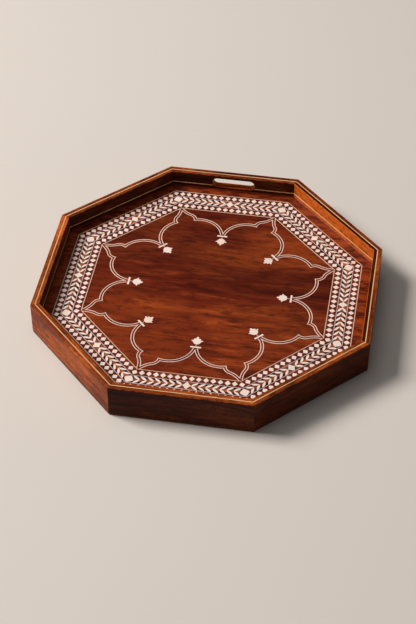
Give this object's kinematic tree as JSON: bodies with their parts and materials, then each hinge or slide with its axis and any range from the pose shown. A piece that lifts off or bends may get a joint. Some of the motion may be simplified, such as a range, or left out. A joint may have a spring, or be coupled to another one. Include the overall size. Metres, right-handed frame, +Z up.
{
  "type": "inlaid wooden tray",
  "caption": "Octagonal wooden serving tray with mitred walls and a hand slot, its floor inlaid with dotted and chevron banding around a scalloped line",
  "frame": {"origin": "centre of the underside of the base board, on the surface that the tray stands on", "axes": "+Z up; +Y towards the wall with the hand slot; +X to the right of someone facing that wall"},
  "size_m": [0.5, 0.5, 0.055],
  "materials": {
    "rosewood": "polished reddish-brown rosewood",
    "floor_wood": "high gloss reddish-brown figured wood",
    "base_wood": "plain wood, oiled",
    "block_wood": "raw softwood",
    "cream_line": "polished pale stringing",
    "gold_line": "polished boxwood stringing",
    "banding": "polished banding of bone, ebony and rosewood",
    "bone": "polished bone"
  },
  "bodies": {
    "root": {"base_board": "base_wood", "floor_panel": "floor_wood", "corner_block_1": "block_wood", "corner_block_2": "block_wood", "corner_block_3": "block_wood", "corner_block_4": "block_wood", "corner_block_5": "block_wood", "corner_block_6": "block_wood", "corner_block_7": "block_wood", "corner_block_8": "block_wood", "wall_back": "rosewood", "wall_back_right": "rosewood", "wall_right": "rosewood", "wall_front_right": "rosewood", "wall_front": "rosewood", "wall_front_left": "rosewood", "wall_left": "rosewood", "wall_back_left": "rosewood", "rim_line_back": "cream_line", "rim_line_back_right": "cream_line", "rim_line_right": "cream_line", "rim_line_front_right": "cream_line", "rim_line_front": "cream_line", "rim_line_front_left": "cream_line", "rim_line_left": "cream_line", "rim_line_back_left": "cream_line", "border_band_back": "banding", "border_band_back_right": "banding", "border_band_right": "banding", "border_band_front_right": "banding", "border_band_front": "banding", "border_band_front_left": "banding", "border_band_left": "banding", "border_band_back_left": "banding", "scallop_back": "bone", "scallop_back_right": "bone", "scallop_right": "bone", "scallop_front_right": "bone", "scallop_front": "bone", "scallop_front_left": "bone", "scallop_left": "bone", "scallop_back_left": "bone", "finial_back": "bone", "finial_back_right": "bone", "finial_right": "bone", "finial_front_right": "bone", "finial_front": "bone", "finial_front_left": "bone", "finial_left": "bone", "finial_back_left": "bone", "inner_line_back_right": "gold_line", "inner_line_right": "gold_line", "inner_line_front_right": "gold_line", "inner_line_front": "gold_line", "inner_line_front_left": "gold_line", "inner_line_left": "gold_line", "inner_line_back_left": "gold_line", "inner_line_back_slot_left": "gold_line", "inner_line_back_slot_right": "gold_line"}
  },
  "joints": []
}
